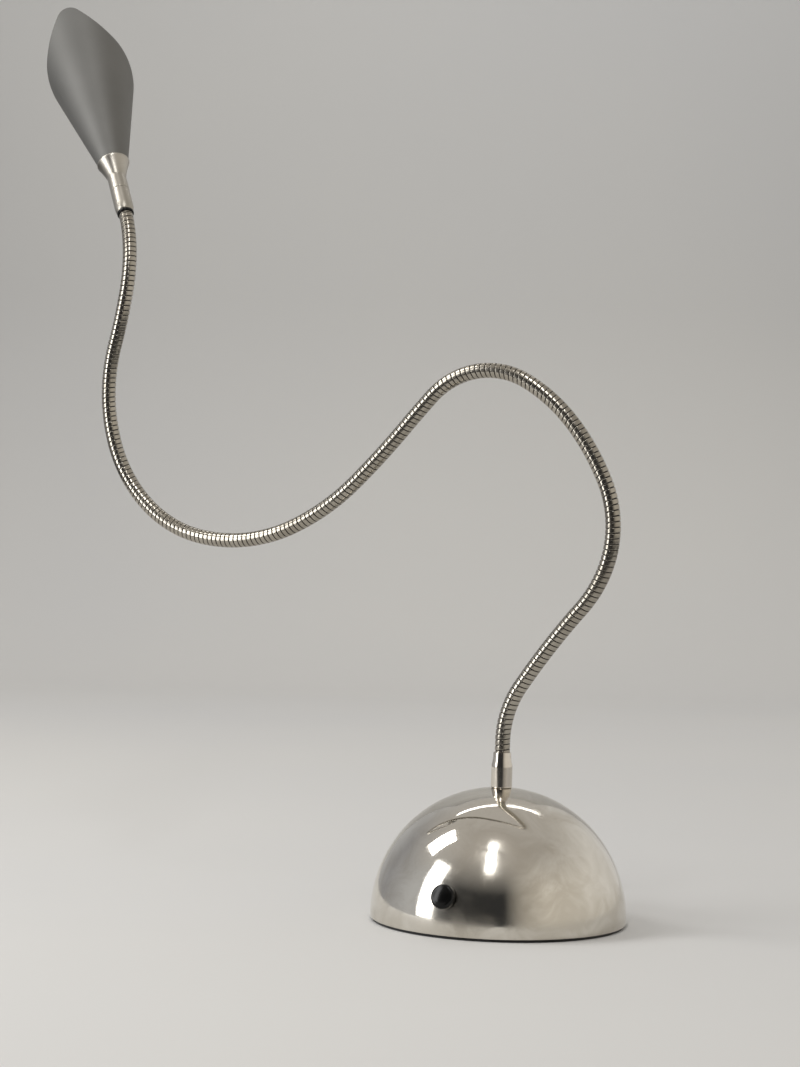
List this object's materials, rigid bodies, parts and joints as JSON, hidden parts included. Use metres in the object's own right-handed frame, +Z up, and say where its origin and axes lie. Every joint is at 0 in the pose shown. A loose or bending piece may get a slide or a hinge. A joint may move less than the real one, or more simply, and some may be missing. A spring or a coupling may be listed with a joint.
{
  "type": "table lamp",
  "caption": "Table lamp with a polished dome base, a dimmer knob low on its front, a long ribbed gooseneck and a small leaf-shaped metal shade.",
  "frame": {"origin": "centre of the base pad's underside, on the surface that the lamp stands on", "axes": "+Z up; -Y out through the dimmer knob at the front; the neck bends in the XZ plane with the head on the -X side"},
  "size_m": [0.5813, 0.3505, 0.752],
  "materials": {
    "dark_felt": "matt felt",
    "zinc_plated_steel": "zinc plated",
    "black_iron": "painted black",
    "polished_nickel": "polished nickel plate, lightly tarnished",
    "satin_metal": "satin, lightly brushed",
    "black_plastic": "fine satin",
    "white_plastic": "matt",
    "laminated_steel": "varnished laminations",
    "taped_copper": "yellow winding tape",
    "grey_lead": "soft sleeve",
    "black_cord": "satin",
    "brass": "plain",
    "ceramic": "unglazed ceramic",
    "clear_glass": "clear",
    "tungsten": "drawn wire"
  },
  "bodies": {
    "base": {"base_pad": "dark_felt", "base_plate": "zinc_plated_steel", "base_plate_screws": "zinc_plated_steel", "ballast_ring": "black_iron", "ballast_screws": "zinc_plated_steel", "dome_shell": "polished_nickel", "transformer_core": "laminated_steel", "transformer_winding": "taped_copper", "transformer_strap": "zinc_plated_steel", "transformer_screws": "zinc_plated_steel", "terminal_block": "white_plastic", "terminal_screws": "brass", "dimmer_module": "black_plastic", "dimmer_nut": "brass", "neck_ferrule": "polished_nickel", "neck_nipple": "zinc_plated_steel", "neck_washer": "zinc_plated_steel", "neck_nut": "brass", "neck_foot": "polished_nickel", "neck_bend_1": "polished_nickel", "lead_foot": "grey_lead", "cord_gland": "black_plastic", "gland_nut": "black_plastic", "inner_cord": "black_cord", "mains_cord": "black_cord", "cord_coil": "black_cord", "cord_tail": "black_cord", "plug_body": "black_plastic", "plug_pins": "brass"},
    "dimmer": {"dimmer_knob": "black_plastic", "dimmer_spindle": "satin_metal"},
    "neck_1": {"neck_span_1": "polished_nickel", "lead_1": "grey_lead", "neck_bend_2": "polished_nickel"},
    "neck_2": {"neck_span_2": "polished_nickel", "lead_2": "grey_lead", "neck_bend_3": "polished_nickel"},
    "neck_3": {"neck_span_3": "polished_nickel", "lead_3": "grey_lead", "neck_bend_4": "polished_nickel"},
    "neck_4": {"neck_span_4": "polished_nickel", "lead_4": "grey_lead", "neck_bend_5": "polished_nickel"},
    "neck_5": {"neck_span_5": "polished_nickel", "lead_5": "grey_lead", "neck_bend_6": "polished_nickel"},
    "neck_6": {"neck_span_6": "polished_nickel", "lead_6": "grey_lead", "neck_end_ring": "black_plastic", "head_sleeve": "polished_nickel", "sleeve_screw": "black_iron"},
    "head": {"shade_cup": "polished_nickel", "shade": "satin_metal", "lamp_holder": "ceramic", "holder_screws": "zinc_plated_steel", "lamp_capsule": "clear_glass", "lamp_pins": "tungsten", "lamp_filament": "tungsten", "lead_head": "grey_lead"}
  },
  "joints": [
    {"name": "dimmer_turn", "type": "hinge", "parent": "base", "child": "dimmer", "pos_m": [0, 0, 0.0045], "axis": [0, -0.9659, 0.2588], "range_deg": [0, 270]},
    {"name": "neck_lean_base", "type": "hinge", "parent": "base", "child": "neck_1", "pos_m": [0.00355, 0, 0.16121], "axis": [0.9537, 0, -0.3007], "range_deg": [-30, 30], "deforming": ["neck_bend_1", "lead_1"]},
    {"name": "neck_bend_base", "type": "hinge", "parent": "neck_1", "child": "neck_2", "pos_m": [0.0419, 0, 0.21956], "axis": [0, 1, 0], "range_deg": [-35, 35], "deforming": ["neck_bend_2", "lead_2"]},
    {"name": "neck_bend_elbow", "type": "hinge", "parent": "neck_2", "child": "neck_3", "pos_m": [0.0866, 0, 0.30469], "axis": [0, 1, 0], "range_deg": [-20, 45], "deforming": ["neck_bend_3", "lead_3"]},
    {"name": "neck_bend_arch", "type": "hinge", "parent": "neck_3", "child": "neck_4", "pos_m": [-0.031, 0, 0.4246], "axis": [0, 1, 0], "range_deg": [-8, 60], "deforming": ["neck_bend_4", "lead_4"]},
    {"name": "neck_bend_dip", "type": "hinge", "parent": "neck_4", "child": "neck_5", "pos_m": [-0.23573, 0, 0.28821], "axis": [0, -1, 0], "range_deg": [-40, 45], "deforming": ["neck_bend_5", "lead_5"]},
    {"name": "neck_bend_head", "type": "hinge", "parent": "neck_5", "child": "neck_6", "pos_m": [-0.37319, 0, 0.40893], "axis": [0, -1, 0], "range_deg": [-40, 50], "deforming": ["neck_bend_6", "lead_6"]},
    {"name": "head_turn", "type": "hinge", "parent": "neck_6", "child": "head", "pos_m": [-0.38059, 0.02469, 0.57171], "axis": [-0.4808, 0.3584, 0.8002], "range_deg": [-160, 160]}
  ]
}
